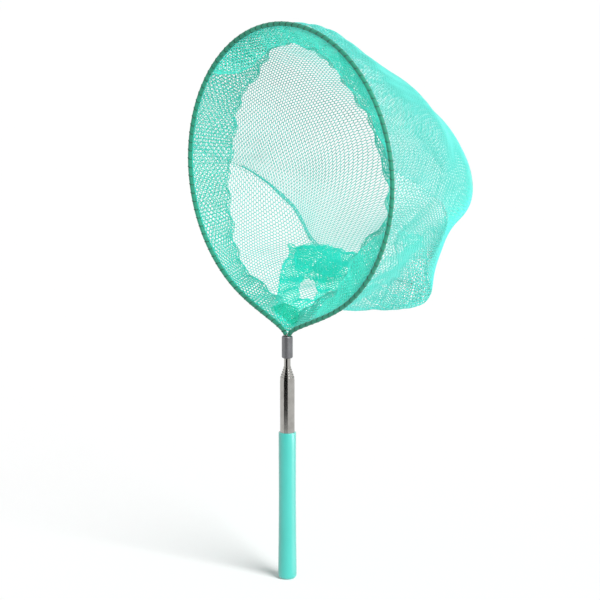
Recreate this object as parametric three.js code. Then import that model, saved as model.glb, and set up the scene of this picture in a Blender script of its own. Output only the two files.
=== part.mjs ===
// A telescopic dip net, pushed in to its shortest length. Six steel tubes slide in one another,
// the outermost in a moulded sleeve grip and the innermost in a ferrule that holds a bent wire
// hoop with a mesh bag. Millimetres, +Z up along the pole, X across the hoop, and the bag goes
// back along +Y. The origin is the middle of the flat foot of the grip.
import * as THREE from "three";

// Driving sizes of the grip.
const gripLength = 103.3;
const gripTopDiameter = 12.0;
const gripWaistDiameter = 11.8;
const gripFootDiameter = 12.8;
const gripFootThickness = 2.0;
const gripFootRound = 2.6;
const gripRimRound = 0.5;

// Driving sizes of the pole. A section is one bush and one wall smaller all round than the
// section that it slides in.
const sectionCount = 6;
const outerTubeDiameter = 10.0;
const outerTubeTop = 142.0;
const tubeWall = 0.3;
const topStep = 1.7;
const neckLength = 1.6;
const neckTaper = 1.0;
const neckClearance = 0.1;

// Driving sizes of the friction bushes, and of the lip and bead that hold one on its tube.
const bushLength = 6.0;
const bushThickness = 0.14;
const bushSlideClearance = 0.05;
const bushTurnClearance = 0.06;
const bushEndClearance = 0.2;
const bushSplit = 30;
const beadLength = 0.8;
const beadTaper = 0.4;
const beadClearance = 0.08;

// Driving sizes of the plug, the ferrule and its core.
const plugLength = 6.0;
const plugHollow = 4.0;
const plugHollowDiameter = 5.0;
const ferruleDiameter = 7.5;
const ferruleWall = 0.5;
const ferruleLength = 15.1;
const ferruleChamfer = 0.6;
const ferruleSocket = 6.0;
const tipShown = 6.1;

// Driving sizes of the wire hoop.
const hoopRadius = 100.0;
const hoopDrawIn = 11.5;
const flankAngle = 58.6;
const flankShoulder = 0.45;
const flankFoot = 0.12;
const wireDiameter = 2.0;
const wireSpacing = 3.4;
const wireGrip = 7.5;

// Driving sizes of the mesh bag: hem, turned-in edge, bag and seam.
const hemSpace = 0.3;
const hemWall = 0.4;
const bagWall = 1.0;
const bagDepth = 147.0;
const deepestDrop = 17.0;
const bagFullness = 1.96;
const fullerBelow = 0.57;
const flatterKeel = 0.57;
const allowanceWall = 0.5;
const allowanceClearance = 0.7;
const seamDiameter = 1.8;
const seamClearance = 0.7;

// The turned-in edge: how far back it reaches inside the mouth, and how uneven its border is.
const allowanceDepth = 24.0;
const allowanceWave = 5.0;

// The bag's main folds: a crease across its back, a pouch that sags under it to one side, and
// the stretch near the hoop's foot that is drawn up tight.
const creaseDepth = 35.0;
const creaseDrop = 54.0;
const creaseWidth = 17.0;
const pouchBulge = 15.0;
const pouchDrop = 87.0;
const pouchWidth = 9.5;
const pouchSag = 27.0;
const pouchReach = 75.0;
const pouchLength = 15.5;
const pouchShift = 14.0;
const tightLift = 33.0;
const tightReach = 17.0;
const tightLength = 40.0;

// The bag is knitted net. Here it is a coarse grid of openings with bands between them, and a
// closed patch at the deepest point, where the lines of the grid run together.
const bagColumns = 24;
const bagRows = 7;
const bandShare = 0.3;
const patchShare = 0.1;

// Gaps between pieces that touch, and the counts of sides.
const seatGap = 0.1;
const softGap = 0.3;
const roundSides = 24;
const wireSides = 8;
const arcSteps = 20;
const flankSteps = 12;
const seamSides = 6;
const seamSteps = 16;
const bandSteps = 2;
const allowanceSides = 44;
const allowanceRings = 4;

const finish = (color, roughness, metalness) =>
  new THREE.MeshStandardMaterial({ color, roughness, metalness });
const steel = finish(0xb4b2ac, 0.3, 1.0);
const brass = finish(0xb08a4a, 0.4, 1.0);
const greyMetal = finish(0x6f7174, 0.55, 0.6);
const mintPlastic = finish(0x5fdccb, 0.6, 0.0);
const greyPlastic = finish(0x55585a, 0.7, 0.0);
const mintMesh = finish(0x6fe3cf, 0.9, 0.0);
const tealMesh = finish(0x3fa58c, 0.9, 0.0);

const net = new THREE.Group();

function addPiece(name, geometry, material, height = 0) {
  const mesh = new THREE.Mesh(geometry, material);
  mesh.name = name;
  mesh.position.z = height;
  net.add(mesh);
}

// A closed turned profile, listed as [radius, height] and spun about Z.
function turned(profile, sides = roundSides) {
  const points = outlinePoints(profile);
  const lathe = new THREE.LatheGeometry([...points, points[0]], sides);
  lathe.rotateX(Math.PI / 2);
  return lathe;
}

function outlinePoints(points) {
  return points.map(([x, y]) => new THREE.Vector2(x, y));
}

// A quarter round of a profile about a centre, from one angle to another in degrees.
function quarterRound(centreRadius, centreHeight, radius, from, to, steps = 4) {
  return Array.from({ length: steps + 1 }, (_, i) => {
    const angle = THREE.MathUtils.degToRad(from + ((to - from) * i) / steps);
    return [centreRadius + radius * Math.cos(angle), centreHeight + radius * Math.sin(angle)];
  });
}

// Sizes of one pole section, counted from 1 at the outside.
const radialStep = tubeWall + bushThickness + bushSlideClearance + bushTurnClearance;
const tubeFoot = gripFootThickness + seatGap;
const plugFoot = tubeFoot;
const sectionFoot = plugFoot + plugLength + seatGap;

function section(index) {
  const radius = outerTubeDiameter / 2 - (index - 1) * radialStep;
  return {
    radius,
    bore: radius - tubeWall,
    foot: index === 1 ? tubeFoot : sectionFoot,
    top: outerTubeTop + (index - 1) * topStep,
  };
}

const ferruleFoot = section(sectionCount - 1).top + tipShown;
const ferruleTop = ferruleFoot + ferruleLength;
const tipTop = ferruleFoot + ferruleSocket;

// The grip: a moulded cup with a closed, rounded foot, a faint waist and a soft upper rim.
function gripSleeve() {
  const bore = outerTubeDiameter / 2 + seatGap;
  const waistHeight = gripLength * 0.55;
  const footRadius = gripFootDiameter / 2;
  const topRadius = gripTopDiameter / 2;
  return turned([
    [0, 0],
    ...quarterRound(footRadius - gripFootRound, gripFootRound, gripFootRound, -90, 0),
    [footRadius - 0.1, gripLength * 0.12],
    [gripWaistDiameter / 2, waistHeight],
    [topRadius, gripLength * 0.9],
    ...quarterRound(topRadius - gripRimRound, gripLength - gripRimRound, gripRimRound, 0, 90, 2),
    [bore, gripLength],
    [bore, gripFootThickness],
    [0, gripFootThickness],
  ]);
}

// The plug in the outer tube's foot: a moulded cup, open side down.
function buttPlug() {
  const radius = section(1).bore - seatGap;
  const hollow = plugHollowDiameter / 2;
  return turned([
    [hollow, 0],
    [radius, 0],
    [radius, plugLength - 0.6],
    [radius - 0.6, plugLength],
    [0, plugLength],
    [0, plugHollow],
    [hollow, plugHollow],
  ]);
}

// The top of a tube: all but the tip are swaged in to a neck that guides the next section.
function neckProfile(index) {
  const { radius, bore, foot, top } = section(index);
  const height = top - foot;
  if (index === sectionCount) {
    const tip = tipTop - foot;
    return [[radius, tip], [bore, tip]];
  }
  const neckBore = section(index + 1).radius + neckClearance;
  const shoulder = height - neckLength;
  return [
    [radius, shoulder - neckTaper],
    [neckBore + tubeWall, shoulder],
    [neckBore + tubeWall, height],
    [neckBore, height],
    [neckBore, shoulder],
    [bore, shoulder - neckTaper],
  ];
}

// The foot of an inner tube: a rolled lip and a pressed bead, with the bush between them.
const bushFoot = beadLength + beadTaper + bushEndClearance;
const beadFoot = bushFoot + bushLength + bushEndClearance;

function footProfile(index) {
  const { radius } = section(index);
  if (index === 1) {
    return [[radius, 0]];
  }
  const raised = section(index - 1).bore - beadClearance;
  return [
    [raised, 0],
    [raised, beadLength],
    [radius, beadLength + beadTaper],
    [radius, beadFoot],
    [raised, beadFoot + beadTaper],
    [raised, beadFoot + beadTaper + beadLength],
    [radius, beadFoot + 2 * beadTaper + beadLength],
  ];
}

function poleTube(index) {
  const { bore } = section(index);
  return turned([[bore, 0], ...footProfile(index), ...neckProfile(index)]);
}

// A friction bush: a thin ring, split so that it springs against the tube outside it.
function frictionBush(index) {
  const inner = section(index).radius + bushTurnClearance;
  const outer = inner + bushThickness;
  const stepAngle = 360 / roundSides;
  const steps = Math.round((360 - bushSplit) / stepAngle);
  const arc = (radius) => Array.from({ length: steps + 1 }, (_, i) => {
    const angle = THREE.MathUtils.degToRad(90 + bushSplit / 2 + i * stepAngle);
    return new THREE.Vector2(radius * Math.cos(angle), radius * Math.sin(angle));
  });
  const outline = new THREE.Shape([...arc(outer), ...arc(inner).reverse()]);
  return new THREE.ExtrudeGeometry(outline, { depth: bushLength, bevelEnabled: false });
}

// The ferrule: a sleeve with a thick collar below, bored for the tip tube.
function ferrule() {
  const radius = ferruleDiameter / 2;
  const collarBore = section(sectionCount).radius + seatGap;
  const bore = radius - ferruleWall;
  return turned([
    [collarBore, 0],
    [radius - ferruleChamfer, 0],
    [radius, ferruleChamfer],
    [radius, ferruleLength - ferruleChamfer],
    [radius - ferruleChamfer / 2, ferruleLength],
    [bore, ferruleLength],
    [bore, ferruleSocket],
    [collarBore, ferruleSocket],
  ]);
}

// The core in the ferrule, with a hole for each end of the wire.
function ferruleCore() {
  const radius = ferruleDiameter / 2 - ferruleWall - seatGap;
  const outline = new THREE.Shape(outlinePoints(circlePoints(radius, roundSides)));
  const hole = wireDiameter / 2 + seatGap;
  for (const side of [-1, 1]) {
    const points = circlePoints(hole, wireSides, (side * wireSpacing) / 2);
    outline.holes.push(new THREE.Path(outlinePoints(points)));
  }
  const depth = ferruleLength - ferruleSocket - 2 * seatGap;
  return new THREE.ExtrudeGeometry(outline, { depth, bevelEnabled: false });
}

// One half of the hoop's centre line in the XZ plane, measured along the wire from the top:
// a circle, then a flank that draws in to the ferrule.
const hoopFoot = -(hoopRadius + hoopDrawIn);
const hoopCentre = ferruleTop - hoopFoot;
const arcAngle = THREE.MathUtils.degToRad(90 + flankAngle);
const arcLength = hoopRadius * arcAngle;
const flank = hoopFlank();
const flankLength = flank.getLength();
const halfLength = arcLength + flankLength;

function hoopFlank() {
  const start = new THREE.Vector2(hoopRadius * Math.sin(arcAngle), hoopRadius * Math.cos(arcAngle));
  const end = new THREE.Vector2(wireSpacing / 2, hoopFoot);
  const span = start.distanceTo(end);
  const heading = new THREE.Vector2(Math.cos(arcAngle), -Math.sin(arcAngle));
  const shoulder = start.clone().addScaledVector(heading, flankShoulder * span);
  const foot = end.clone().add(new THREE.Vector2(0, flankFoot * span));
  return new THREE.CubicBezierCurve(start, shoulder, foot, end);
}

function halfHoop(distance) {
  if (distance <= arcLength) {
    const angle = distance / hoopRadius;
    return new THREE.Vector2(hoopRadius * Math.sin(angle), hoopRadius * Math.cos(angle));
  }
  if (distance <= halfLength) {
    return flank.getPointAt(Math.min(1, (distance - arcLength) / flankLength));
  }
  return new THREE.Vector2(wireSpacing / 2, hoopFoot - (distance - halfLength));
}

// The same line through the whole hoop, from one end of the wire to the other.
function hoopPoint(along) {
  const point = halfHoop(Math.abs(along));
  return new THREE.Vector3(Math.sign(along) * point.x, 0, hoopCentre + point.y);
}

// Places along the wire for its cross sections: even round the circle, then closer and closer
// down each flank, and one at each end.
function hoopStations(reach) {
  const half = [];
  for (let i = 1; i <= arcSteps; i += 1) {
    half.push((arcLength * i) / arcSteps);
  }
  for (let i = 1; i <= flankSteps; i += 1) {
    half.push(halfLength - flankLength * (1 - i / flankSteps) ** 1.6);
  }
  const inside = half.filter((distance) => distance < reach - 0.2);
  inside.push(reach);
  return [...inside.map((distance) => -distance).reverse(), 0, ...inside];
}

// Rings of one radius round the hoop's line.
function hoopRings(radius, reach) {
  return hoopStations(reach).map((along) => {
    const tangent = hoopPoint(along + 0.01).sub(hoopPoint(along - 0.01)).normalize();
    const side = new THREE.Vector3(0, 1, 0).cross(tangent);
    return circlePoints(radius, wireSides).map(([across, deep]) =>
      hoopPoint(along).addScaledVector(side, across).add(new THREE.Vector3(0, deep, 0)));
  });
}

function circlePoints(radius, sides, centre = 0) {
  return Array.from({ length: sides }, (_, i) => {
    const angle = (i * 2 * Math.PI) / sides;
    return [centre + radius * Math.cos(angle), radius * Math.sin(angle)];
  });
}

// The wire: one round rod, its two ends side by side in the ferrule's core.
function hoopWire() {
  const reach = halfLength + wireGrip;
  return skin([
    [hoopPoint(-reach)],
    ...hoopRings(wireDiameter / 2, reach),
    [hoopPoint(reach)],
  ]);
}

// The hem: the mesh rolled round the wire, a sleeve that stops where the two flanks meet.
const hemBore = wireDiameter / 2 + hemSpace;
const hemRadius = hemBore + hemWall;

function hemStop() {
  let back = 0;
  while (halfHoop(halfLength - back).x < hemRadius + softGap) {
    back += 0.5;
  }
  return back;
}

function netHem() {
  const reach = halfLength - hemStop();
  return skin([...hoopRings(hemRadius, reach), ...hoopRings(hemBore, reach).reverse()]);
}

// The bag's mid surface. Round runs from 0 to 1 about the mouth from its top, and back runs
// from 0 at the hem to 1 at the deepest point. Each line from hem to deepest point is a
// rounded arch, fuller below than above, and the folds are soft swells added to it.
const mouthStart = hemRadius + softGap;

function smoothStep(value) {
  return THREE.MathUtils.smoothstep(value, 0, 1);
}

function swell(value, centre, width) {
  return Math.exp(-(((value - centre) / width) ** 2));
}

function bagPoint(round, back) {
  const side = round <= 0.5 ? 1 : -1;
  const mouthLength = halfLength - hemStop();
  const rim = halfHoop(mouthLength * (side > 0 ? 2 * round : 2 - 2 * round));
  const across = side * rim.x;
  const rise = rim.y + deepestDrop;
  const upward = rise / Math.hypot(across, rise);
  const keel = Math.max(0, -upward) ** 2;
  const fullness = bagFullness - fullerBelow * upward - flatterKeel * keel;
  const turn = (back * Math.PI) / 2;
  const inward = Math.max(0, Math.cos(turn)) ** (2 / fullness);
  const depth = Math.sin(turn) ** (2 / fullness);
  const loose = Math.sin(turn);
  let x = across * inward;
  let y = bagDepth * depth;
  let z = rise * inward - deepestDrop;
  const rightSide = 0.5 + 0.5 * Math.tanh(x / 30 + 0.6);
  y -= creaseDepth * loose * rightSide * swell(z, -creaseDrop, creaseWidth);
  y += pouchBulge * loose * swell(z, -pouchDrop, pouchWidth);
  const low = loose * smoothStep(-1.6 * upward - 0.3);
  z += low * tightLift * swell(y, tightReach, tightLength);
  z -= low * pouchSag * swell(y, pouchReach, pouchLength);
  x += low * pouchShift * swell(y, pouchReach, 1.5 * pouchLength);
  return new THREE.Vector3(x, y + mouthStart, z + hoopCentre);
}

// The way out of the bag at a point, square to its mid surface.
function bagOutward(round, back) {
  const small = 0.002;
  const nearBack = Math.min(back, 1 - 2 * small);
  const here = bagPoint(round, nearBack);
  const onward = bagPoint((round + small) % 1, nearBack).sub(here);
  const inward = bagPoint(round, nearBack + small).sub(here);
  return onward.cross(inward).normalize();
}

function bagOffset(round, back, distance) {
  const point = bagPoint(round, back);
  if (back >= 1) {
    return point.add(new THREE.Vector3(0, distance, 0));
  }
  const offset = bagOutward(round, back).multiplyScalar(distance);
  if (back === 0) {
    offset.y = 0;
  }
  return point.add(offset);
}

// Joins rings of points into one closed skin. Neighbouring rings are stitched with quads, the
// last ring is stitched back to the first, and a ring of one point closes as a fan.
function skin(rings) {
  const starts = [];
  const positions = [];
  for (const points of rings) {
    starts.push(positions.length / 3);
    points.forEach((point) => positions.push(point.x, point.y, point.z));
  }
  const faces = [];
  rings.forEach((points, ringIndex) => {
    const nextIndex = (ringIndex + 1) % rings.length;
    const count = Math.max(points.length, rings[nextIndex].length);
    const at = (index, i) => starts[index] + (i % rings[index].length);
    for (let i = 0; i < count; i += 1) {
      if (points.length > 1) {
        faces.push(at(ringIndex, i), at(ringIndex, i + 1), at(nextIndex, i));
      }
      if (rings[nextIndex].length > 1) {
        faces.push(at(ringIndex, i + 1), at(nextIndex, i + 1), at(nextIndex, i));
      }
    }
  });
  return indexedGeometry(positions, faces);
}

function indexedGeometry(positions, faces) {
  const geometry = new THREE.BufferGeometry();
  geometry.setAttribute("position", new THREE.Float32BufferAttribute(positions, 3));
  geometry.setIndex(faces);
  return geometry;
}

// The lines of the bag's grid, as shares of the way round and of the way back. Round the mouth
// each column is a band and an opening. From the hem back each row is the same, the opening in
// steps so that the bands beside it follow the folds.
function gridLines() {
  const rounds = [];
  for (let i = 0; i < bagColumns; i += 1) {
    rounds.push(i / bagColumns, (i + bandShare) / bagColumns);
  }
  const rowPitch = (1 - patchShare) / (bagRows + bandShare);
  const backs = [];
  for (let i = 0; i < bagRows; i += 1) {
    backs.push(i * rowPitch);
    for (let step = 0; step < bandSteps; step += 1) {
      backs.push((i + bandShare + ((1 - bandShare) * step) / bandSteps) * rowPitch);
    }
  }
  backs.push(bagRows * rowPitch, 1 - patchShare);
  return { rounds, backs };
}

// The bag: an open-mouthed shell about its mid surface, with a grid of openings. Each closed
// cell of the grid has an outer and an inner skin, and a wall on each side without a neighbour.
function netBag() {
  const { rounds, backs } = gridLines();
  const steps = bandSteps + 1;
  const closed = (i, j) => j >= 0 && (i % 2 === 0 || j % steps === 0);
  const positions = [];
  for (const distance of [bagWall / 2, -bagWall / 2]) {
    for (const back of backs) {
      rounds.forEach((round) => positions.push(...bagOffset(round, back, distance).toArray()));
    }
    positions.push(...bagOffset(0, 1, distance).toArray());
  }
  const skinSize = rounds.length * backs.length + 1;
  const at = (i, j) => Math.min(j * rounds.length + (i % rounds.length), skinSize - 1);
  const faces = [];
  const addWall = (from, to) => {
    faces.push(to, from, from + skinSize, to, from + skinSize, to + skinSize);
  };
  for (let j = 0; j < backs.length; j += 1) {
    for (let i = 0; i < rounds.length; i += 1) {
      const corners = [at(i, j), at(i + 1, j), at(i + 1, j + 1), at(i, j + 1)];
      if (j === backs.length - 1) {
        corners.splice(2, 2, skinSize - 1);
      } else if (!closed(i, j)) {
        continue;
      }
      for (let k = 2; k < corners.length; k += 1) {
        const [a, b, c] = [corners[0], corners[k - 1], corners[k]];
        faces.push(a, b, c, a + skinSize, c + skinSize, b + skinSize);
      }
      if (j === backs.length - 1) {
        continue;
      }
      const beside = [[i, j - 1], [i + 1, j], [i, j + 1], [i + rounds.length - 1, j]];
      beside.forEach(([besideI, besideJ], side) => {
        if (besideJ < backs.length - 1 && !closed(besideI, besideJ)) {
          addWall(corners[side], corners[(side + 1) % 4]);
        }
      });
    }
  }
  return indexedGeometry(positions, faces);
}

// The turned-in edge: a band that follows the bag's wall round the inside of the mouth.
const bagArch = (bagDepth * Math.PI) / 2;
const allowanceStart = 0.02;

function hemAllowance() {
  const near = bagWall / 2 + allowanceClearance;
  const rows = Array.from({ length: allowanceRings + 1 }, (_, i) => i / allowanceRings);
  const band = (share, distance) => Array.from({ length: allowanceSides }, (_, i) => {
    const round = i / allowanceSides;
    const uneven = allowanceWave * (Math.sin(10 * Math.PI * round) + Math.cos(26 * Math.PI * round));
    const back = allowanceStart + (share * (allowanceDepth + uneven / 2)) / bagArch;
    return bagOffset(round, back, -distance);
  });
  return skin([
    ...rows.map((share) => band(share, near)),
    ...rows.reverse().map((share) => band(share, near + allowanceWall)),
  ]);
}

// The side seam: the overlocked edge inside the bag, from behind the turned-in band down the
// left wall to the foot of the bag.
const seamFrom = { round: 0.725, back: 0.19 };
const seamTo = { round: 0.62, back: 0.38 };

function bagSeam() {
  const inset = -(bagWall / 2 + seamClearance + seamDiameter / 2);
  const count = 9;
  const points = Array.from({ length: count }, (_, i) => {
    const share = i / (count - 1);
    const round = THREE.MathUtils.lerp(seamFrom.round, seamTo.round, share ** 1.3);
    const back = THREE.MathUtils.lerp(seamFrom.back, seamTo.back, share ** 0.8);
    return bagOffset(round, back, inset);
  });
  const outline = new THREE.Shape(outlinePoints(circlePoints(seamDiameter / 2, seamSides)));
  return new THREE.ExtrudeGeometry(outline, {
    steps: seamSteps,
    extrudePath: new THREE.CatmullRomCurve3(points),
    bevelEnabled: false,
  });
}

addPiece("grip_sleeve", gripSleeve(), mintPlastic);
addPiece("butt_plug", buttPlug(), greyPlastic, plugFoot);
for (let index = 1; index <= sectionCount; index += 1) {
  addPiece(`pole_tube_${index}`, poleTube(index), steel, section(index).foot);
}
for (let index = 2; index <= sectionCount; index += 1) {
  addPiece(`friction_bush_${index}`, frictionBush(index), brass, section(index).foot + bushFoot);
}
addPiece("ferrule", ferrule(), greyMetal, ferruleFoot);
addPiece("ferrule_core", ferruleCore(), greyPlastic, ferruleFoot + ferruleSocket + seatGap);
addPiece("hoop_wire", hoopWire(), steel);
addPiece("net_hem", netHem(), tealMesh);
addPiece("net_bag", netBag(), mintMesh);
addPiece("hem_allowance", hemAllowance(), tealMesh);
addPiece("bag_seam", bagSeam(), tealMesh);

export default net;
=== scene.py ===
import math

import bmesh
import bpy
import numpy as np
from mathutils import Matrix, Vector


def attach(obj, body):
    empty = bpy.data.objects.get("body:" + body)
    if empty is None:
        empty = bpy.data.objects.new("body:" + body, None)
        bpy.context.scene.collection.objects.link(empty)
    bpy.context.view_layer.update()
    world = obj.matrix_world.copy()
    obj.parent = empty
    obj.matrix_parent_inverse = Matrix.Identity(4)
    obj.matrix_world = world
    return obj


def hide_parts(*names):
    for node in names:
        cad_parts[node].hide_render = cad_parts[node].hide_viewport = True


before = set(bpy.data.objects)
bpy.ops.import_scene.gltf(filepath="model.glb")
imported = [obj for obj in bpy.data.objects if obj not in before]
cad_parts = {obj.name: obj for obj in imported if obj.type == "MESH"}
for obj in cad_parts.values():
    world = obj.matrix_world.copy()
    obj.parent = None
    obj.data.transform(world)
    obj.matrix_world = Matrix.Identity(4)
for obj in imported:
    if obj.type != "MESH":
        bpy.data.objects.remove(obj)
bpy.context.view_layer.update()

# The studio: a pale floor, a white surround, one broad lamp high on the right and weaker fill
# from the other sides. A like lamp throws the floor's shadow to the left, another stands in for
# the light that seeps through thick net, and a strip glints on the grip. A black flag in front,
# seen only in the steel, gives the tubes the dark stripe down their middle.
scene = bpy.context.scene
scene.view_settings.view_transform = "Standard"

LENS = 162.0
VIEW_AZIMUTH = math.radians(47.1)
VIEW_ELEVATION = math.radians(10.54)
VIEW_DISTANCE = 1.827
AIM_HEIGHT = 0.1949
AIM_RIGHT = 0.00865


def heading(azimuth, elevation):
    """The direction from the object to a thing at that azimuth and elevation, in radians."""
    level = math.cos(elevation)
    return Vector((math.sin(azimuth) * level, -math.cos(azimuth) * level, math.sin(elevation)))


view_right = Vector((math.cos(VIEW_AZIMUTH), math.sin(VIEW_AZIMUTH), 0.0))
view_back = heading(VIEW_AZIMUTH, VIEW_ELEVATION)
camera = bpy.data.objects.new("camera", bpy.data.cameras.new("camera"))
scene.collection.objects.link(camera)
camera.data.lens = LENS
camera.location = Vector((0.0, 0.0, AIM_HEIGHT)) + view_right * AIM_RIGHT + view_back * VIEW_DISTANCE
camera.rotation_euler = (-view_back).to_track_quat("-Z", "Y").to_euler()
scene.camera = camera


LAMP_DISTANCE = 1.5
LAMP_AIM = Vector((0.0, 0.05, 0.25))


def add_lamp(name, kind, azimuth, elevation, strength, size):
    """A lamp that looks at the middle of the object; size is metres, or degrees for a sun."""
    data = bpy.data.lights.new(name, kind)
    data.energy = strength
    if kind == "SUN":
        data.angle = math.radians(size)
    else:
        data.size = size
    lamp = bpy.data.objects.new(name, data)
    scene.collection.objects.link(lamp)
    away = heading(math.radians(azimuth), math.radians(elevation))
    lamp.location = LAMP_AIM + away * LAMP_DISTANCE
    lamp.rotation_euler = away.to_track_quat("Z", "Y").to_euler()
    return lamp


key_lamp = add_lamp("key_lamp", "SUN", 84, 36, 2.85, size=24)
floor_lamp = add_lamp("floor_lamp", "SUN", 84, 36, 3.55, size=32)
right_fill = add_lamp("right_fill", "AREA", 128, 20, 4.5, size=0.6)
left_fill = add_lamp("left_fill", "AREA", 0, 20, 3.2, size=1.2)
fold_lamp = add_lamp("fold_lamp", "SUN", 60, 25, 0.95, size=60)
grip_strip = add_lamp("grip_strip", "AREA", 126, -4, 24.0, size=0.3)
grip_strip.visible_diffuse = False


def paint(red, green, blue):
    """A colour as it is read off a picture, 0 to 255, in the linear values that nodes take."""
    levels = [level / 255 for level in (red, green, blue)]
    linear = [((v + 0.055) / 1.055) ** 2.4 if v > 0.04045 else v / 12.92 for v in levels]
    return (*linear, 1.0)


def add_node(tree, kind, sockets=None, **settings):
    """Adds a node, with its settings and the values or links of its sockets. Another node,
    given for a link, stands for its first output."""
    made = tree.nodes.new(kind)
    for name, value in settings.items():
        setattr(made, name, value)
    for name, value in (sockets or {}).items():
        if isinstance(value, bpy.types.Node):
            value = value.outputs[0]
        if isinstance(value, bpy.types.NodeSocket):
            tree.links.new(value, made.inputs[name])
        else:
            made.inputs[name].default_value = value
    return made


def seen_rays(tree):
    """1 for the rays that see the surround as a picture: camera, mirror and glass rays."""
    rays = add_node(tree, "ShaderNodeLightPath")
    mirror = add_node(tree, "ShaderNodeMath", {0: rays.outputs["Is Camera Ray"],
                      1: rays.outputs["Is Glossy Ray"]}, operation="MAXIMUM")
    glass = add_node(tree, "ShaderNodeMath", {0: mirror,
                     1: rays.outputs["Is Transmission Ray"]}, operation="MAXIMUM")
    return glass.outputs[0]


AMBIENT = 0.28
scene.world = bpy.data.worlds.new("surround")


def cleared(owner):
    """The node tree of a world or material, emptied."""
    owner.use_nodes = True
    owner.node_tree.nodes.clear()
    return owner.node_tree


surround = cleared(scene.world)
dim, white = (add_node(surround, "ShaderNodeBackground", {"Color": (1, 1, 1, 1),
                       "Strength": strength}) for strength in (AMBIENT, 1.0))
either = add_node(surround, "ShaderNodeMixShader", {0: seen_rays(surround), 1: dim, 2: white})
add_node(surround, "ShaderNodeOutputWorld", {"Surface": either})


MM = 0.001


def add_object(name, points, edges, faces, unit=MM):
    """A new object in the scene, from points in millimetres or in another unit."""
    mesh = bpy.data.meshes.new(name)
    mesh.from_pydata([tuple(np.array(point) * unit) for point in points], edges, faces)
    made = bpy.data.objects.new(name, mesh)
    scene.collection.objects.link(made)
    return made


def stage_sheet(name, points, faces, material):
    """A sheet of the studio, in metres, which isn't part of the object."""
    sheet = add_object(name, points, [], faces, unit=1.0)
    sheet.data.materials.append(material)
    return sheet


FLOOR_REACH = 9.0
FLOOR_GLOW = 0.155
floor_paint = bpy.data.materials.new("floor_paper")
paper = cleared(floor_paint)
matt = add_node(paper, "ShaderNodeBsdfDiffuse", {"Color": (0.9, 0.9, 0.9, 1)})
glow_level = add_node(paper, "ShaderNodeMath", {0: seen_rays(paper), 1: FLOOR_GLOW},
                      operation="MULTIPLY")
glow = add_node(paper, "ShaderNodeEmission", {"Strength": glow_level})
both = add_node(paper, "ShaderNodeAddShader", {0: matt, 1: glow})
add_node(paper, "ShaderNodeOutputMaterial", {"Surface": both})
corners = [(-1, -1), (1, -1), (1, 1), (-1, 1)]
stage_sheet("floor", [(x * FLOOR_REACH, y * FLOOR_REACH, 0.0) for x, y in corners],
            [(0, 1, 2, 3)], floor_paint)

FLAG_DISTANCE = 0.42
FLAG_HEIGHT = 0.9
FLAG_SPAN = (-9, 56)
FLAG_STRIPS = 12
flag_black = bpy.data.materials.new("flag_black")
flag_black.use_nodes = True
flag_shader = flag_black.node_tree.nodes["Principled BSDF"].inputs
flag_shader["Base Color"].default_value = paint(20, 19, 18)
flag_shader["Roughness"].default_value = 1.0
flag_shader["Specular IOR Level"].default_value = 0.0
flag_points = []
for angle in np.radians(np.linspace(*FLAG_SPAN, FLAG_STRIPS + 1)):
    foot = heading(angle, 0.0) * FLAG_DISTANCE
    flag_points += [(foot.x, foot.y, 0.0), (foot.x, foot.y, FLAG_HEIGHT)]
flag_faces = [(2 * i, 2 * i + 1, 2 * i + 3, 2 * i + 2) for i in range(FLAG_STRIPS)]
flag = stage_sheet("black_flag", flag_points, flag_faces, flag_black)
for ray in ("camera", "diffuse", "shadow", "transmission"):
    setattr(flag, f"visible_{ray}", False)

# The grip: a moulded sleeve of soft mint plastic with a closed, rounded foot, pushed over the
# lower end of the outermost tube. It is turned from one profile, with a faint waist.
GRIP_LENGTH = 103.3
GRIP_TOP_RADIUS = 6.0
GRIP_WAIST_RADIUS = 5.9
GRIP_FOOT_RADIUS = 6.4
GRIP_FOOT_THICKNESS = 2.0
GRIP_FOOT_ROUND = 2.6
GRIP_RIM_ROUND = 0.5
TUBE_RADIUS = 5.0
SEAT_GAP = 0.1
ROUND_STEPS = 8
EASE_STEPS = 3
TURNED_SIDES = 96
CREASE_ANGLE = math.radians(38)
MINT = paint(72, 201, 190), paint(58, 190, 177)
FLOAT = "NodeSocketFloat"


def surface_group(name):
    """An empty shader node group for a kind of surface. Two colours, the scale of its finest
    relief and a roughness go in; colour, roughness and relief over the surface come out."""
    group = bpy.data.node_groups.new(name, "ShaderNodeTree")
    for way, labels in (("INPUT", ("Color", "Dark Color", "Scale", "Roughness")),
                        ("OUTPUT", ("Color", "Roughness", "Height"))):
        for label in labels:
            kind = "NodeSocketColor" if "Color" in label else FLOAT
            group.interface.new_socket(label, in_out=way, socket_type=kind)
    place = add_node(group, "ShaderNodeTexCoord").outputs["Object"]
    return group, group.nodes.new("NodeGroupInput").outputs, place


def noise(group, place, scale, detail, distortion=0.0):
    """A cloudy pattern over the surface, about 0 to 1."""
    return add_node(group, "ShaderNodeTexNoise", {"Vector": place, "Scale": scale,
                    "Detail": detail, "Distortion": distortion}).outputs["Fac"]


def finish_group(group, given, light, patches, uneven, relief):
    """Mixes the dark and the light colour, and makes the roughness uneven by the patches."""
    mixed = add_node(group, "ShaderNodeMix", {"Factor": light, 6: given["Dark Color"],
                     7: given["Color"]}, data_type="RGBA")
    rough = add_node(group, "ShaderNodeMath", {0: patches, 1: uneven, 2: given["Roughness"]},
                     operation="MULTIPLY_ADD")
    add_node(group, "NodeGroupOutput", {"Color": mixed.outputs[2], "Roughness": rough,
             "Height": relief})
    return group


def moulded_surface():
    """Moulded plastic: fine grain, and slow drifts of colour and gloss."""
    group, given, place = surface_group("moulded_surface")
    drift = noise(group, place, scale=45.0, detail=3.0)
    grain = noise(group, place, given["Scale"], detail=2.0)
    return finish_group(group, given, drift, drift, 0.16, grain)


moulded = moulded_surface()


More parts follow.
